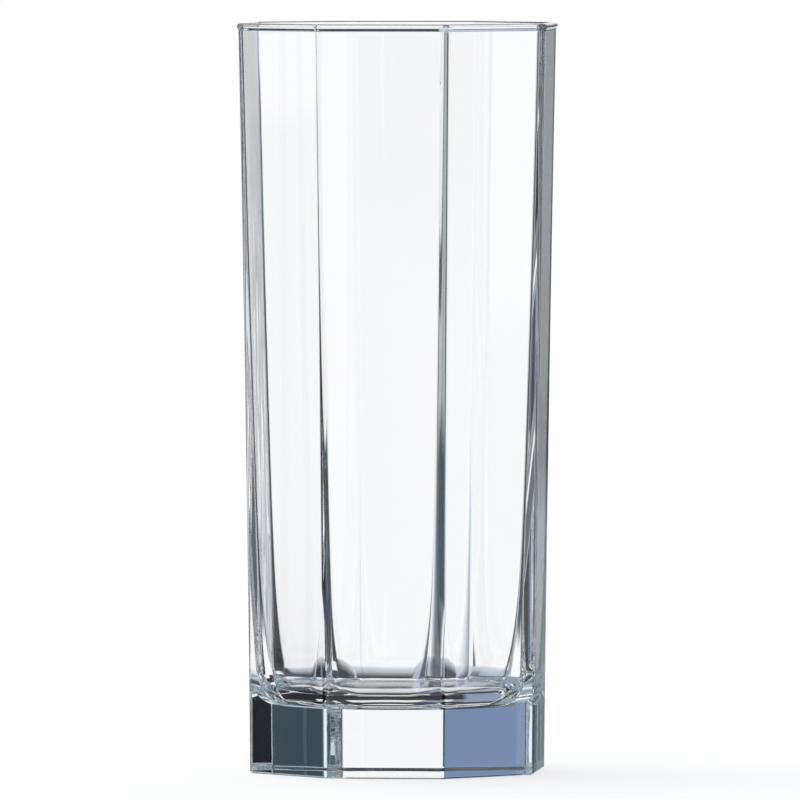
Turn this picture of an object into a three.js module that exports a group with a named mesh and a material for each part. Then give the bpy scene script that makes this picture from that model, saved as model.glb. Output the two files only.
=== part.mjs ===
// Octagonal juice glass: one body of clear pressed glass with a thick foot and a fire-polished lip.
// Millimetres, +Z up, origin at the middle of the standing face, two of the eight sides facing along X.
import * as THREE from "three";

// Outside, drawn in towards the foot so that the glass leaves its mould
const SIDES = 8;
const HEIGHT = 140; // standing face to the crest of the lip
const FOOT_ACROSS_FLATS = 53.2;
const RIM_ACROSS_FLATS = 57.6;
const SIDE_SWEEP = 0.17; // how far a side draws in from a straight line at half height
const ARRIS_RADIUS_AT_FOOT = 1.4;
const ARRIS_RADIUS_AT_RIM = 3;

// Cavity, shaped by an eight-sided plunger with more draft than the mould and a rounder nose
const FLOOR_THICKNESS = 12.5;
const FLOOR_FILLET = 7;
const WALL_AT_RIM = 1.3;
const WALL_AT_FLOOR = 4.2; // at the height of the floor, before the fillet
const WALL_GROWTH = 1.7; // how late the wall thickens on the way down, 1 being an even taper
const CAVITY_CORNER_AT_RIM = 1.5;
const CAVITY_CORNER_AT_FLOOR = 20; // at the height of the floor, before the fillet
const CORNER_GROWTH = 14; // how late the corners widen on the way down

// Lip, melted round into a low bead
const LIP_HEIGHT = 1.6;
const LIP_SWELL = 0.25; // how far the bead stands out of the wall on each face

// Foot, with a round hollow inside the flat that the glass stands on
const FOOT_ROUNDING = 0.9;
const STANDING_FLAT = 5.5; // width of the flat at the middle of a side
const UNDERSIDE_HOLLOW = 0.4;

// Steps along each curve
const CORNER_STEPS = 6;
const HOLLOW_STEPS = 3;
const FOOT_STEPS = 4;
const OUTSIDE_STEPS = 10;
const LIP_STEPS = 10;
const CAVITY_STEPS = 14;
const FILLET_STEPS = 7;

const SIDE_ANGLE = (2 * Math.PI) / SIDES;
const { lerp } = THREE.MathUtils;

// A station is one level ring: its height, its distance from the axis to a side, and its corner radius
const station = (height, halfFlats, corner) => ({ height, halfFlats, corner });

// The values at even steps from start to end, both included
const steps = (start, end, count) => Array.from({ length: count + 1 }, (_, i) => lerp(start, end, i / count));

function outsideAt(height) {
  const share = height / HEIGHT;
  const straight = lerp(FOOT_ACROSS_FLATS, RIM_ACROSS_FLATS, share) / 2;
  const sweep = SIDE_SWEEP * 4 * share * (1 - share);
  return station(height, straight - sweep, lerp(ARRIS_RADIUS_AT_FOOT, ARRIS_RADIUS_AT_RIM, share));
}

function cavityAt(height) {
  const depth = (HEIGHT - height) / (HEIGHT - FLOOR_THICKNESS);
  const wall = lerp(WALL_AT_RIM, WALL_AT_FLOOR, depth ** WALL_GROWTH);
  const corner = lerp(CAVITY_CORNER_AT_RIM, CAVITY_CORNER_AT_FLOOR, depth ** CORNER_GROWTH);
  return station(height, outsideAt(height).halfFlats - wall, corner);
}

// Underside: a shallow round dish, whose rings are circles because their corners meet
function underside() {
  const edge = FOOT_ACROSS_FLATS / 2 - FOOT_ROUNDING - STANDING_FLAT;
  return steps(0, edge, HOLLOW_STEPS)
    .slice(1)
    .map((radius) => station(UNDERSIDE_HOLLOW * (1 - (radius / edge) ** 2), radius, radius));
}

// Foot: a quarter round from the standing flat to the side
function foot() {
  const top = outsideAt(FOOT_ROUNDING);
  return steps(0, Math.PI / 2, FOOT_STEPS).map((turn) => {
    const inset = FOOT_ROUNDING * (1 - Math.sin(turn));
    return station(FOOT_ROUNDING * (1 - Math.cos(turn)), top.halfFlats - inset, top.corner);
  });
}

// Lip: an oval bead that runs from the outside face over the crest to the cavity face
function lip() {
  const middle = HEIGHT - LIP_HEIGHT / 2;
  const outer = outsideAt(middle);
  const inner = cavityAt(middle);
  const halfWall = (outer.halfFlats - inner.halfFlats) / 2;
  const halfBead = halfWall + LIP_SWELL;
  const below = Math.acos(halfWall / halfBead);
  return steps(-below, Math.PI + below, LIP_STEPS).map((turn) => {
    const across = Math.cos(turn);
    const halfFlats = inner.halfFlats + halfWall + halfBead * across;
    const corner = lerp(inner.corner, outer.corner, (1 + across) / 2);
    return station(middle + (LIP_HEIGHT / 2) * Math.sin(turn), halfFlats, corner);
  });
}

// Fillet: rolls from the drafted cavity wall into the floor, its corners keeping their radius
function fillet() {
  const top = FLOOR_THICKNESS + FLOOR_FILLET;
  const outwardPerMillimetre = cavityAt(top + 1).halfFlats - cavityAt(top).halfFlats;
  const draft = Math.atan(outwardPerMillimetre);
  const start = cavityAt(FLOOR_THICKNESS + FLOOR_FILLET * (1 - Math.sin(draft)));
  const centre = start.halfFlats - FLOOR_FILLET * Math.cos(draft);
  return steps(draft, Math.PI / 2, FILLET_STEPS).map((turn) => {
    const halfFlats = centre + FLOOR_FILLET * Math.cos(turn);
    return station(FLOOR_THICKNESS + FLOOR_FILLET * (1 - Math.sin(turn)), halfFlats, start.corner);
  });
}

// The ring of points of a station: an octagon with an arc at each corner
function ring({ height, halfFlats, corner }) {
  const arcCentre = (halfFlats - corner) / Math.cos(SIDE_ANGLE / 2);
  const points = [];
  for (let side = 0; side < SIDES; side++) {
    const towards = (side + 0.5) * SIDE_ANGLE;
    for (const turn of steps(towards - SIDE_ANGLE / 2, towards + SIDE_ANGLE / 2, CORNER_STEPS)) {
      const x = arcCentre * Math.cos(towards) + corner * Math.cos(turn);
      const y = arcCentre * Math.sin(towards) + corner * Math.sin(turn);
      points.push(new THREE.Vector3(x, y, height));
    }
  }
  return points;
}

// A closed skin through all the rings, from a point on the axis to another point on the axis
function loft(first, stations, last) {
  const rings = stations.map(ring);
  const count = rings[0].length;
  const points = [new THREE.Vector3(0, 0, first), ...rings.flat(), new THREE.Vector3(0, 0, last)];
  const lastRing = 1 + (rings.length - 1) * count;
  const faces = [];
  for (let i = 0; i < count; i++) {
    const next = (i + 1) % count;
    faces.push(0, 1 + next, 1 + i);
    for (let start = 1; start < lastRing; start += count) {
      faces.push(start + i, start + next, start + count + next);
      faces.push(start + i, start + count + next, start + count + i);
    }
    faces.push(lastRing + i, lastRing + next, points.length - 1);
  }
  return new THREE.BufferGeometry().setFromPoints(points).setIndex(faces);
}

const footStations = foot();
const lipStations = lip();
const filletStations = fillet();
const outsideHeights = steps(FOOT_ROUNDING, lipStations[0].height, OUTSIDE_STEPS);
const outside = outsideHeights.slice(1, -1).map(outsideAt);
const cavityHeights = steps(lipStations.at(-1).height, filletStations[0].height, CAVITY_STEPS);
const cavity = cavityHeights.slice(1, -1).map(cavityAt);
const skin = [...underside(), ...footStations, ...outside, ...lipStations, ...cavity, ...filletStations];

const clearGlass = new THREE.MeshStandardMaterial({
  color: 0xe6eef2,
  roughness: 0.02,
  metalness: 0,
  transparent: true,
  opacity: 0.35,
});

const tumbler = new THREE.Mesh(loft(UNDERSIDE_HOLLOW, skin, FLOOR_THICKNESS), clearGlass);
tumbler.name = "tumbler";

const juiceGlass = new THREE.Group();
juiceGlass.add(tumbler);

export default juiceGlass;
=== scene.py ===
import math

import bmesh
import bpy
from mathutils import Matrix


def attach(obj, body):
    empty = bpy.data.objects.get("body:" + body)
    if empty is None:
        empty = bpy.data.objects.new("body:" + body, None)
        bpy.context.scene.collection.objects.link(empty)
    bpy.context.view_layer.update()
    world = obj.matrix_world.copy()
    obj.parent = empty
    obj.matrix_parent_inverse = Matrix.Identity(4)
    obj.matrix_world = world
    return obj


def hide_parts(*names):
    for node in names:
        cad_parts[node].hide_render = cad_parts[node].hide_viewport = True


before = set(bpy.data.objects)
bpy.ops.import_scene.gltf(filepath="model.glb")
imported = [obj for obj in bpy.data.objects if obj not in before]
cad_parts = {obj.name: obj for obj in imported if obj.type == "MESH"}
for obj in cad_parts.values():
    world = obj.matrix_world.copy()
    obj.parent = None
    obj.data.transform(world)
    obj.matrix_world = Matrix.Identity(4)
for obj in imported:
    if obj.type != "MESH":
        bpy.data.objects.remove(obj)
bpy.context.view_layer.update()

# Tumbler: the whole glass, one gob of clear soda-lime glass. An eight-sided plunger presses it into an
# eight-sided mould, and a flame then melts the rim into a low round bead. The plunger stands a hair off
# the mould's axis, so the corners of the cavity sit a little to one side of the corners outside.
MILLIMETRE = 0.001  # the sizes of the glass are in millimetres
HEIGHT = 140
FOOT_HALF_FLATS = 26.6
RIM_HALF_FLATS = 28.8
SIDE_SWEEP = 0.17  # how far a side draws in from a straight line at half height
ARRIS_AT_FOOT = 1.4
ARRIS_AT_RIM = 3
FLOOR_THICKNESS = 12.5
FLOOR_FILLET = 7
WALL_AT_RIM = 1.3
WALL_AT_FLOOR = 4.2
WALL_GROWTH = 1.7  # how late the wall thickens on the way down, 1 being an even taper
CAVITY_CORNER_AT_RIM = 1.5
CAVITY_CORNER_AT_FLOOR = 20
CORNER_GROWTH = 14  # how late the corners widen on the way down
LIP_EQUATOR = 0.5  # from the crest down to the widest level of the bead
LIP_NECK = 1.45  # from the crest down to the plain wall
LIP_SWELL = 0.3
FOOT_ROUNDING = 0.5
STANDING_FLAT = 5.5
STANDING_RISE = 0.03  # the inner edge of the flat stands a hair higher than its outer edge
UNDERSIDE_HOLLOW = 0.2
DISH_MIDDLE = 1  # radius of the innermost ring of the dish
DISH_ROUNDNESS = 0.985  # corner radius of a ring of the dish, as a share of its size
PLUNGER_SHIFT = (-0.05, -0.2)
PLUNGER_TURN = math.radians(-0.7)
WAVE_WIDTH = 12
WAVE_DEPTH = 0.1

# Sides, and the steps along each curve
SIDES = 8
EIGHTH = 2 * math.pi / SIDES
CORNER_SEGMENTS = 14
DISH_STEPS = 9
ROUNDING_STEPS = 5
OUTSIDE_STEPS = 18
NECK_STEPS = 10
BEAD_STEPS = 14
CAVITY_STEPS = 26
CAVITY_CROWDING = 1.6  # above 1, the rings of the cavity lie closer towards its floor
FILLET_STEPS = 24
MERGE_DISTANCE = 0.001
FLATS_WEIGHT = 50

# A level is one ring of the skin: its height, half its width across flats, its corner radius, and how far
# it follows the plunger rather than the mould.
MOULD, PLUNGER = 0, 1
levels = []


def between(start, end, share):
    return start + (end - start) * share


def evenly(start, end, count):
    return [between(start, end, step / count) for step in range(count + 1)]


def outside(height):
    share = height / HEIGHT
    half_flats = between(FOOT_HALF_FLATS, RIM_HALF_FLATS, share) - SIDE_SWEEP * 4 * share * (1 - share)
    return half_flats, between(ARRIS_AT_FOOT, ARRIS_AT_RIM, share)


def cavity(height):
    depth = (HEIGHT - height) / (HEIGHT - FLOOR_THICKNESS)
    wall = between(WALL_AT_RIM, WALL_AT_FLOOR, depth ** WALL_GROWTH)
    corner = between(CAVITY_CORNER_AT_RIM, CAVITY_CORNER_AT_FLOOR, depth ** CORNER_GROWTH)
    return outside(height)[0] - wall, corner


# Underside: a shallow round dish, then the flat that the glass stands on and the small round at its edge
dish_radius = FOOT_HALF_FLATS - FOOT_ROUNDING - STANDING_FLAT
for radius in evenly(DISH_MIDDLE, dish_radius, DISH_STEPS):
    height = between(UNDERSIDE_HOLLOW, STANDING_RISE, (radius / dish_radius) ** 2)
    levels.append((height, radius, radius * DISH_ROUNDNESS, MOULD))
foot_top, foot_corner = outside(FOOT_ROUNDING)
for turn in evenly(0, math.pi / 2, ROUNDING_STEPS):
    rise = FOOT_ROUNDING * (1 - math.cos(turn))
    levels.append((rise, foot_top - FOOT_ROUNDING * (1 - math.sin(turn)), foot_corner, MOULD))

# Outside of the wall, up to the neck under the bead
for height in evenly(FOOT_ROUNDING, HEIGHT - LIP_NECK, OUTSIDE_STEPS)[1:]:
    levels.append((height, *outside(height), MOULD))

# Lip: the neck swells into the bead, the bead rolls over the crest, and the same neck leads down inside
neck = []
for depth in evenly(LIP_NECK, LIP_EQUATOR, NECK_STEPS):
    turn = math.pi * (depth - LIP_EQUATOR) / (LIP_NECK - LIP_EQUATOR)
    neck.append((depth, LIP_SWELL * (1 + math.cos(turn)) / 2))
for depth, swell in neck[1:]:
    half_flats, corner = outside(HEIGHT - depth)
    levels.append((HEIGHT - depth, half_flats + swell, corner, MOULD))
outer_edge, outer_corner = levels[-1][1:3]
inner_wall, inner_corner = cavity(HEIGHT - LIP_EQUATOR)
inner_edge = inner_wall - LIP_SWELL
for turn in evenly(0, math.pi, BEAD_STEPS)[1:]:
    inward = (1 - math.cos(turn)) / 2
    rise = LIP_EQUATOR * math.sin(turn)
    corner = between(outer_corner, inner_corner, inward)
    half_flats = between(outer_edge, inner_edge, inward)
    levels.append((HEIGHT - LIP_EQUATOR + rise, half_flats, corner, between(MOULD, PLUNGER, inward)))
for depth, swell in neck[-2::-1]:
    half_flats, corner = cavity(HEIGHT - depth)
    levels.append((HEIGHT - depth, half_flats - swell, corner, PLUNGER))

# Cavity: down the drafted wall, closer rings near the nose of the plunger, then the fillet to the floor
fillet_top = FLOOR_THICKNESS + FLOOR_FILLET
draft = math.atan(cavity(fillet_top + 1)[0] - cavity(fillet_top)[0])
fillet_top -= FLOOR_FILLET * math.sin(draft)
for share in evenly(1, 0, CAVITY_STEPS)[1:]:
    height = between(fillet_top, HEIGHT - LIP_NECK, share ** CAVITY_CROWDING)
    levels.append((height, *cavity(height), PLUNGER))
fillet_edge, nose_corner = cavity(fillet_top)
fillet_middle = fillet_edge - FLOOR_FILLET * math.cos(draft)
for turn in evenly(draft, math.pi / 2, FILLET_STEPS)[1:]:
    height = FLOOR_THICKNESS + FLOOR_FILLET * (1 - math.sin(turn))
    levels.append((height, fillet_middle + FLOOR_FILLET * math.cos(turn), nose_corner, PLUNGER))

# Each level is an eight-sided circle with its corners bevelled round, bridged to the level before it
bpy.ops.object.select_all(action="DESELECT")
ring_size = SIDES * (CORNER_SEGMENTS + 1)
tumbler = None
for height, half_flats, corner, follows in levels:
    bpy.ops.mesh.primitive_circle_add(
        vertices=SIDES,
        radius=half_flats / math.cos(EIGHTH / 2) * MILLIMETRE,
        location=(*(shift * follows * MILLIMETRE for shift in PLUNGER_SHIFT), height * MILLIMETRE),
        rotation=(0, 0, EIGHTH / 2 + PLUNGER_TURN * follows),
    )
    if tumbler is None:
        tumbler = bpy.context.object
        bpy.ops.object.transform_apply(location=True, rotation=True)
        bpy.ops.object.mode_set(mode="EDIT")
        bpy.ops.mesh.select_mode(type="VERT")
        bpy.ops.mesh.select_all(action="SELECT")
    bpy.ops.mesh.bevel(
        affect="VERTICES",
        offset=corner * math.tan(EIGHTH / 2) * MILLIMETRE,
        segments=CORNER_SEGMENTS,
        profile=0.5,
        clamp_overlap=False,
    )
    skin = bmesh.from_edit_mesh(tumbler.data)
    skin.verts.ensure_lookup_table()
    for vertex in skin.verts[-2 * ring_size:]:
        vertex.select = True
    skin.select_flush(True)
    if len(skin.verts) == ring_size:
        bpy.ops.mesh.edge_face_add()
    else:
        bpy.ops.mesh.bridge_edge_loops()

# The last ring is filled to make the middle of the floor
skin = bmesh.from_edit_mesh(tumbler.data)
skin.verts.ensure_lookup_table()
bpy.ops.mesh.select_all(action="DESELECT")
for vertex in skin.verts[-ring_size:]:
    vertex.select = True
skin.select_flush(True)
bpy.ops.mesh.edge_face_add()
bpy.ops.mesh.select_all(action="SELECT")
bpy.ops.mesh.remove_doubles(threshold=MERGE_DISTANCE * MILLIMETRE)
bpy.ops.mesh.normals_make_consistent(inside=False)
bpy.ops.object.mode_set(mode="OBJECT")
bpy.ops.object.shade_smooth()
tumbler.name = "tumbler_glass"

# The broad flats keep their own flat shading up to the arrises
weighted = tumbler.modifiers.new("flats", "WEIGHTED_NORMAL")
weighted.weight = FLATS_WEIGHT
bpy.ops.object.modifier_apply(modifier=weighted.name)


def linear(colour):
    parts = [int(colour[k:k + 2], 16) / 255 for k in (1, 3, 5)]
    return [c / 12.92 if c <= 0.04045 else ((c + 0.055) / 1.055) ** 2.4 for c in parts] + [1]


def add(tree, kind, links=None, inputs=None, stops=(), **settings):
    """One node with its settings, its plain input values, the stops of its ramp and its links."""
    made = tree.nodes.new(kind)
    for name, value in settings.items():
        setattr(made, name, value)
    for socket, value in (inputs or {}).items():
        made.inputs[socket].default_value = value
    if stops:
        ramp = made.color_ramp.elements
        ramp.remove(ramp[1])
        ramp[0].position, ramp[0].color = stops[0]
        for position, colour in stops[1:]:
            ramp.new(position).color = colour
    for socket, source in (links or {}).items():
        tree.links.new(source, made.inputs[socket])
    return made


# Clear soda-lime glass, pressed and fire-polished: bright and colourless through the wall, a breath of
# cool grey through the thick foot, with the faint waviness that a mould leaves in a surface.
glass = bpy.data.materials.new("clear_soda_lime_glass")
glass.use_nodes = True
tree = glass.node_tree
tree.nodes.clear()
place = add(tree, "ShaderNodeTexCoord").outputs["Object"]
waves = add(tree, "ShaderNodeTexNoise", {"Vector": place}, {
    "Scale": 1 / (WAVE_WIDTH * MILLIMETRE), "Detail": 1.0, "Roughness": 0.4})
ripple = add(tree, "ShaderNodeBump", {"Height": waves.outputs["Fac"]}, {
    "Strength": 0.12, "Distance": WAVE_DEPTH * MILLIMETRE})
body = add(tree, "ShaderNodeBsdfPrincipled", {"Normal": ripple.outputs["Normal"]}, {
    "Base Color": linear("#fdfeff"), "Roughness": 0.0, "IOR": 1.52, "Transmission Weight": 1.0})
depth_tint = add(tree, "ShaderNodeVolumeAbsorption", None, {"Color": linear("#d3e2ea"), "Density": 2.2})
add(tree, "ShaderNodeOutputMaterial", {"Surface": body.outputs[0], "Volume": depth_tint.outputs[0]})
tumbler.data.materials.append(glass)

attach(tumbler, "root")
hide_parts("tumbler")

# Table top: a plain sheet of white paper that the glass stands on. The camera sees it white, with the soft
# shadow of the glass on it, and the glass shows the studio in its place.
TABLE_SIZE = 12
TABLE_DROP = 0.00002  # keeps the paper just clear of the foot
PAPER_GLOW = 0.74  # comes to white with the light that falls on the paper
bpy.ops.object.select_all(action="DESELECT")
bpy.ops.mesh.primitive_plane_add(size=TABLE_SIZE, location=(0, 0, -TABLE_DROP))
table = bpy.context.object
table.name = "table_top"
paper = bpy.data.materials.new("white_paper")
paper.use_nodes = True
tree = paper.node_tree
tree.nodes.clear()
glow = add(tree, "ShaderNodeEmission", None, {"Color": linear("#ffffff"), "Strength": PAPER_GLOW})
matt = add(tree, "ShaderNodeBsdfDiffuse", None, {"Color": linear("#959595")})
seen = add(tree, "ShaderNodeAddShader", {0: glow.outputs[0], 1: matt.outputs[0]})
white = add(tree, "ShaderNodeBsdfDiffuse", None, {"Color": linear("#e7e7e7")})
rays = add(tree, "ShaderNodeLightPath")
pick = add(tree, "ShaderNodeMixShader", {
    0: rays.outputs["Is Camera Ray"], 1: white.outputs[0], 2: seen.outputs[0]})
add(tree, "ShaderNodeOutputMaterial", {"Surface": pick.outputs[0]})
table.data.materials.append(paper)
table.visible_transmission = False
table.visible_glossy = False

# Shade on the table: the soft dimness that the glass casts round its own foot, which only the glass shows,
# through the low part of its wall. It is darkest beside the foot and fades out a few hand widths away.
# Bearings are in radians, 0 straight behind the glass and growing to the right.
ROUND_VERTICES = 96
SHADE_DROP = 0.02
SHADE_START = 0.066
SHADE_REACH = 0.2
SHADE_FULL = 0.165  # from here outwards it fades away
SHADE_TONES = ((0.09, "#101820"), (0.113, "#757b7f"), (0.134, "#b0b5b8"), (0.168, "#cfd4d7"),
               (SHADE_REACH, "#dde1e5"))
RIGHT_HALF = {"From Min": -0.006, "From Max": 0, "To Max": 0.75}
RIGHT_COLOUR = "#ccd6e6"
FLANKS = ((-0.32, -0.41, "#141c22"), (0.13, 0.2, "#3d474d"))  # bearings where a flank starts and is full
SECTOR = ((-0.62, -0.5), (0.6, 0.5))  # bearings where the shade starts and is full, on the left and right
bpy.ops.object.select_all(action="DESELECT")
bpy.ops.mesh.primitive_circle_add(
    vertices=ROUND_VERTICES, radius=SHADE_REACH, fill_type="NGON", location=(0, 0, -SHADE_DROP))
shade = bpy.context.object
shade.name = "table_shade"
bpy.ops.object.mode_set(mode="EDIT")
bpy.ops.mesh.select_all(action="SELECT")
bpy.ops.mesh.inset(thickness=SHADE_REACH - SHADE_START)
bpy.ops.mesh.delete(type="FACE")
bpy.ops.object.mode_set(mode="OBJECT")
dim = bpy.data.materials.new("shaded_paper")
dim.use_nodes = True
tree = dim.node_tree
tree.nodes.clear()
place = add(tree, "ShaderNodeTexCoord").outputs["Object"]
away = add(tree, "ShaderNodeVectorMath", {0: place}, operation="LENGTH").outputs["Value"]
heading = add(tree, "ShaderNodeSeparateXYZ", {0: place}).outputs
bearing = add(tree, "ShaderNodeMath", {0: heading["X"], 1: heading["Y"]}, operation="ARCTAN2").outputs[0]
fade = add(tree, "ShaderNodeValToRGB", {0: away}, stops=[(at, linear(tone)) for at, tone in SHADE_TONES])
shown = fade.outputs["Color"]
patches = [(heading["X"], RIGHT_HALF, RIGHT_COLOUR)]
for start, full, colour in FLANKS:
    patches.append((bearing, {"From Min": start, "From Max": full}, colour))
for source, limits, colour in patches:
    share = add(tree, "ShaderNodeMapRange", {"Value": source}, limits)
    shown = add(tree, "ShaderNodeMix", {"Factor": share.outputs[0], "A": shown}, {"B": linear(colour)},
                data_type="RGBA").outputs["Result"]
glow = add(tree, "ShaderNodeEmission", {"Color": shown})
rim = add(tree, "ShaderNodeMapRange", {"Value": away}, {"From Min": SHADE_REACH, "From Max": SHADE_FULL})
share = rim.outputs[0]
for start, full in SECTOR:
    edge = add(tree, "ShaderNodeMapRange", {"Value": bearing}, {"From Min": start, "From Max": full})
    share = add(tree, "ShaderNodeMath", {0: share, 1: edge.outputs[0]}, operation="MULTIPLY").outputs[0]
nothing = add(tree, "ShaderNodeBsdfTransparent")
glow = add(tree, "ShaderNodeMixShader", {0: share, 1: nothing.outputs[0], 2: glow.outputs[0]})
add(tree, "ShaderNodeOutputMaterial", {"Surface": glow.outputs[0]})
shade.data.materials.append(dim)
shade.visible_camera = False
shade.visible_glossy = False
shade.visible_diffuse = False
shade.visible_shadow = False

# Contact shade: the dark crescent under the near edge of the foot, where no light gets between the glass
# and the paper. Only the foot shows it, as the dark line with a lighter one under it over the front side.
CONTACT_DROP = 0.0005
CONTACT_RADIUS = 0.027
CONTACT_COLOUR = "#05080a"
RINGS_SPAN = 30  # millimetres from the middle to the end of the ramp
RINGS = ((13.4, 0), (14.2, 1), (16.8, 1), (17.5, 0.15), (19.8, 0.15), (20.6, 1))  # radius and darkness
NEAR_EDGE = {"From Min": -0.003, "From Max": -0.006}
SLANTED_END = {"From Min": 0.0065, "From Max": 0.0045}  # counted from left front to right back
bpy.ops.object.select_all(action="DESELECT")
bpy.ops.mesh.primitive_circle_add(
    vertices=ROUND_VERTICES, radius=CONTACT_RADIUS, fill_type="NGON", location=(0, 0, -CONTACT_DROP))
contact = bpy.context.object
contact.name = "contact_shade"
dark = bpy.data.materials.new("shaded_paper_under_foot")
dark.use_nodes = True
tree = dark.node_tree
tree.nodes.clear()
place = add(tree, "ShaderNodeTexCoord").outputs["Object"]
away = add(tree, "ShaderNodeVectorMath", {0: place}, operation="LENGTH").outputs["Value"]
heading = add(tree, "ShaderNodeSeparateXYZ", {0: place}).outputs
outward = add(tree, "ShaderNodeMapRange", {"Value": away}, {
    "From Min": 0, "From Max": RINGS_SPAN * MILLIMETRE})
rings = add(tree, "ShaderNodeValToRGB", {0: outward.outputs[0]}, stops=[
    (radius / RINGS_SPAN, (darkness, darkness, darkness, 1)) for radius, darkness in RINGS])
share = rings.outputs["Color"]
slant = add(tree, "ShaderNodeMath", {0: heading["X"], 1: heading["Y"]}, operation="ADD").outputs[0]
for source, limits in ((heading["Y"], NEAR_EDGE), (slant, SLANTED_END)):
    edge = add(tree, "ShaderNodeMapRange", {"Value": source}, limits)
    share = add(tree, "ShaderNodeMath", {0: share, 1: edge.outputs[0]}, operation="MULTIPLY").outputs[0]
nothing = add(tree, "ShaderNodeBsdfTransparent")
glow = add(tree, "ShaderNodeEmission", None, {"Color": linear(CONTACT_COLOUR)})
glow = add(tree, "ShaderNodeMixShader", {0: share, 1: nothing.outputs[0], 2: glow.outputs[0]})
add(tree, "ShaderNodeOutputMaterial", {"Surface": glow.outputs[0]})
contact.data.materials.append(dark)
contact.visible_camera = False
contact.visible_glossy = False
contact.visible_diffuse = False
contact.visible_shadow = False

# Shade sheet: a glowing sheet of painted shade that stands behind the glass on the right, out of the
# picture, which the right-hand edges of the glass bring into view. The painted shade is darker away from
# its near edge, and has a dark strip in its upper part. It stands square to the camera.
VIEW_BEARING = math.radians(5.6)
CARD_PLACE = (0.2469, 0.3257, 0.0525)
CARD_WIDTH = 0.445
CARD_HEIGHT = 0.225
# Painted shade along the sheet from its near edge outwards: the lower part, then the upper part with its
# dark strip
LOWER_TONES = ((0, "#f2f5f8"), (0.03, "#cfd9e3"), (0.075, "#5a656c"), (0.12, "#4a555c"), (0.19, "#36464f"))
UPPER_TONES = ((0, "#f2f5f8"), (0.043, "#dfe6ee"), (0.054, "#0c2f3c"), (0.085, "#0c2f3c"),
               (0.099, "#b0b8bc"), (0.25, "#a8b2b6"), (0.33, "#36464f"))
UPPER_PART = {"From Min": -0.09, "From Max": -0.03}  # in heights of the card, from its middle
bpy.ops.object.select_all(action="DESELECT")
bpy.ops.mesh.primitive_plane_add(size=1, location=CARD_PLACE, rotation=(math.pi / 2, 0, VIEW_BEARING))
card = bpy.context.object
card.name = "painted_shade_card"
card.scale = (CARD_WIDTH, CARD_HEIGHT, 1)
board = bpy.data.materials.new("painted_shade_sheet")
board.use_nodes = True
tree = board.node_tree
tree.nodes.clear()
place = add(tree, "ShaderNodeTexCoord").outputs["Object"]
on_card = add(tree, "ShaderNodeSeparateXYZ", {0: place}).outputs
along = add(tree, "ShaderNodeMath", {0: on_card["X"]}, {1: 0.5}, operation="ADD").outputs[0]
lower, upper = (
    add(tree, "ShaderNodeValToRGB", {0: along}, stops=[(at, linear(tone)) for at, tone in tones])
    for tones in (LOWER_TONES, UPPER_TONES)
)
share = add(tree, "ShaderNodeMapRange", {"Value": on_card["Y"]}, UPPER_PART)
tone = add(tree, "ShaderNodeMix", {
    "Factor": share.outputs[0], "A": lower.outputs["Color"], "B": upper.outputs["Color"]}, data_type="RGBA")
glow = add(tree, "ShaderNodeEmission", {"Color": tone.outputs["Result"]})
add(tree, "ShaderNodeOutputMaterial", {"Surface": glow.outputs[0]})
card.data.materials.append(board)
card.visible_camera = False
card.visible_diffuse = False
card.visible_shadow = False

# Studio: white all round, with soft-edged dark cards set up beside the backdrop, as for photographing
# clear glass, so that its edges draw themselves dark. A card is a colour, the azimuths and the elevations
# where it fades in and out, in degrees; azimuth 0 is along +Y and 90 along +X. Later cards lie on top.
ALL_ROUND = (-181, -180, 180, 181)
TO_THE_TOP = (12, 17, 95, 99)
CARDS = [
    ("#7088ac", (-53, -49, -25.6, -21), (-14, -9, 40, 50)),
    ("#0a1014", (-40, -36, -21, -18), (-20, -17, -4.0, -2.7)),
    ("#0a1014", (-80, -76, -46, -43), (-14, -10, 10, 14)),
    ("#0a1014", (-100, -96, -80, -76), (-30, -26, -9, -6)),
    ("#7a8288", (-88, -87, -80, -77), (-9, -6, -4.1, -3.5)),
    ("#0a1014", (-74, -68, -24, -18), (-54, -48, -33, -29.5)),
    ("#06080a", (-26, -24, -20, -17.6), (-3.6, -3.0, -2.0, -1.5)),
    ("#8896b2", (3, 7, 80, 85), (-66, -60, -26, -22)),
    ("#0c1014", (-24, -20, 10, 14), (-46, -42, -28, -22)),
    ("#12181c", (-78, -74, -60, -56), (-40, -36, -23, -19)),
    ("#26323a", (40, 44, 86, 89.5), (-16, -12, 8, 12)),
    ("#0f4654", (101.5, 105, 146, 150), (-10, -7, 8, 12)),
    ("#0c1218", (-179, -176.5, -161, -158), (-2.2, -0.8, 8, 12)),
    ("#0c1218", (151, 154, 162, 166), (-2.2, -0.8, 8, 12)),
    ("#4a5a66", (97, 101, 115, 119), (-24, -20, -11, -8)),
    ("#7088ac", (151, 155, 169, 173), (-24, -20, -11, -8)),
    ("#0f4654", (-146, -140, -104, -98), (-36, -30, 14, 20)),
    ("#8aa0a8", ALL_ROUND, TO_THE_TOP),
    ("#0a1a20", ALL_ROUND, (45, 55, 95, 99)),
    ("#0a1a20", (-40, -34, 75, 80), TO_THE_TOP),
    ("#b4bdd0", (-3, 0, 60, 70), (12, 17, 50, 60)),
]
world = bpy.data.worlds.new("studio")
bpy.context.scene.world = world
world.use_nodes = True
tree = world.node_tree
tree.nodes.clear()
place = add(tree, "ShaderNodeTexCoord").outputs["Generated"]
heading = add(tree, "ShaderNodeSeparateXYZ", {0: place}).outputs
azimuth = add(tree, "ShaderNodeMath", {0: heading["X"], 1: heading["Y"]}, operation="ARCTAN2")
azimuth = add(tree, "ShaderNodeMath", {0: azimuth.outputs[0]}, operation="DEGREES")
elevation = add(tree, "ShaderNodeMath", {0: heading["Z"]}, operation="ARCSINE")
elevation = add(tree, "ShaderNodeMath", {0: elevation.outputs[0]}, operation="DEGREES")
surround = {}
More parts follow.
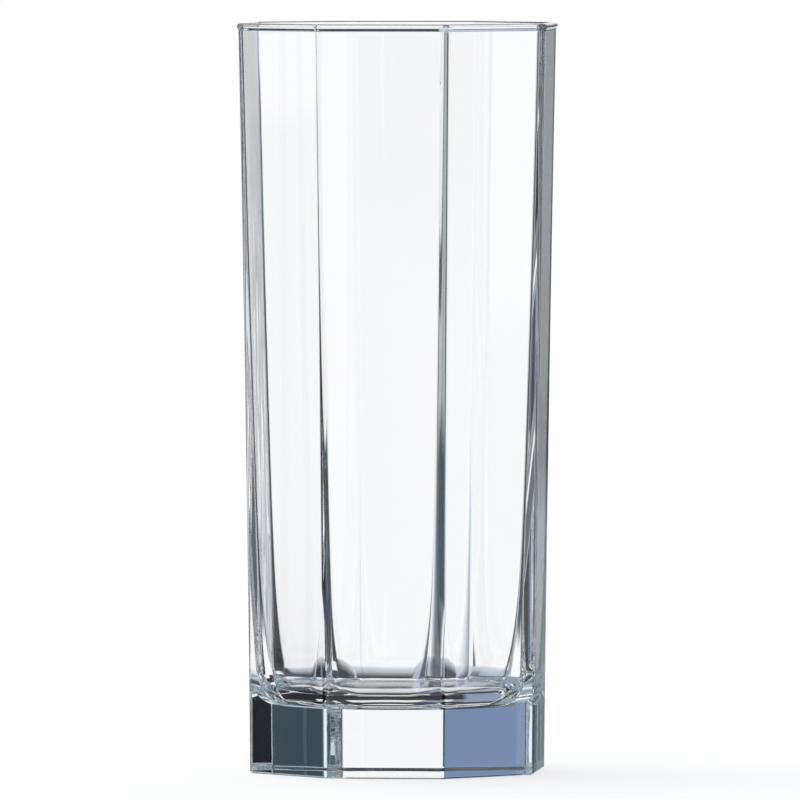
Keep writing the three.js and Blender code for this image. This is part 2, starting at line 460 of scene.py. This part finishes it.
for colour, across, upright in CARDS:
    shares = []
    for source, (rise_from, rise_to, fall_from, fall_to) in ((azimuth, across), (elevation, upright)):
        for start, full in ((rise_from, rise_to), (fall_to, fall_from)):
            edge = add(tree, "ShaderNodeMapRange", {"Value": source.outputs[0]}, {
                "From Min": start, "From Max": full}, interpolation_type="SMOOTHSTEP")
            shares.append(edge.outputs[0])
    share = shares[0]
    for other in shares[1:]:
        share = add(tree, "ShaderNodeMath", {0: share, 1: other}, operation="MULTIPLY").outputs[0]
    mixed = add(tree, "ShaderNodeMix", {"Factor": share, **surround}, {
        "A": linear("#ffffff"), "B": linear(colour)}, data_type="RGBA")
    surround = {"A": mixed.outputs["Result"]}
cards = add(tree, "ShaderNodeBackground", {"Color": surround["A"]})
backdrop = add(tree, "ShaderNodeBackground", None, {"Color": linear("#ffffff")})
rays = add(tree, "ShaderNodeLightPath")
pick = add(tree, "ShaderNodeMixShader", {
    0: rays.outputs["Is Camera Ray"], 1: cards.outputs[0], 2: backdrop.outputs[0]})
add(tree, "ShaderNodeOutputWorld", {"Surface": pick.outputs[0]})

# Soft box: one broad, soft lamp high on the left and a little behind the glass. It lights the table top
# and casts the faint shadow on the right.
LAMP_PLACE = (-0.5, 0.43, 1.23)
LAMP_TILT = (math.radians(-18), math.radians(-22), 0)
bpy.ops.object.light_add(type="SUN", location=LAMP_PLACE, rotation=LAMP_TILT)
lamp = bpy.context.object
lamp.name = "soft_box"
lamp.data.angle = math.radians(70)
lamp.data.energy = 2.6
lamp.visible_glossy = False
lamp.visible_transmission = False

# Camera: a long lens three metres away, a little above the rim and a little to the right of the front
# side. The frame's width is what the picture takes in at the glass.
CAMERA_DISTANCE = 3.0
EYE_HEIGHT = 0.177
AIM_HEIGHT = 0.06942
FRAME_WIDTH = 0.14953
FRAME_SHIFT = 0.003
SENSOR_WIDTH = 36
bpy.ops.object.camera_add(location=(
    CAMERA_DISTANCE * math.sin(VIEW_BEARING), -CAMERA_DISTANCE * math.cos(VIEW_BEARING), EYE_HEIGHT))
camera = bpy.context.object
camera.name = "camera"
look_down = math.atan2(EYE_HEIGHT - AIM_HEIGHT, CAMERA_DISTANCE)
camera.rotation_euler = (math.pi / 2 - look_down, 0, VIEW_BEARING)
camera.data.sensor_width = SENSOR_WIDTH
camera.data.lens = SENSOR_WIDTH * CAMERA_DISTANCE / FRAME_WIDTH
camera.data.shift_x = FRAME_SHIFT
bpy.context.scene.camera = camera

# Light passes through many faces of glass before it leaves it
THROUGH_GLASS = 48
MIRRORED = 24
bpy.context.scene.cycles.max_bounces = THROUGH_GLASS
bpy.context.scene.cycles.transmission_bounces = THROUGH_GLASS
bpy.context.scene.cycles.glossy_bounces = MIRRORED
bpy.context.scene.view_settings.view_transform = "Standard"
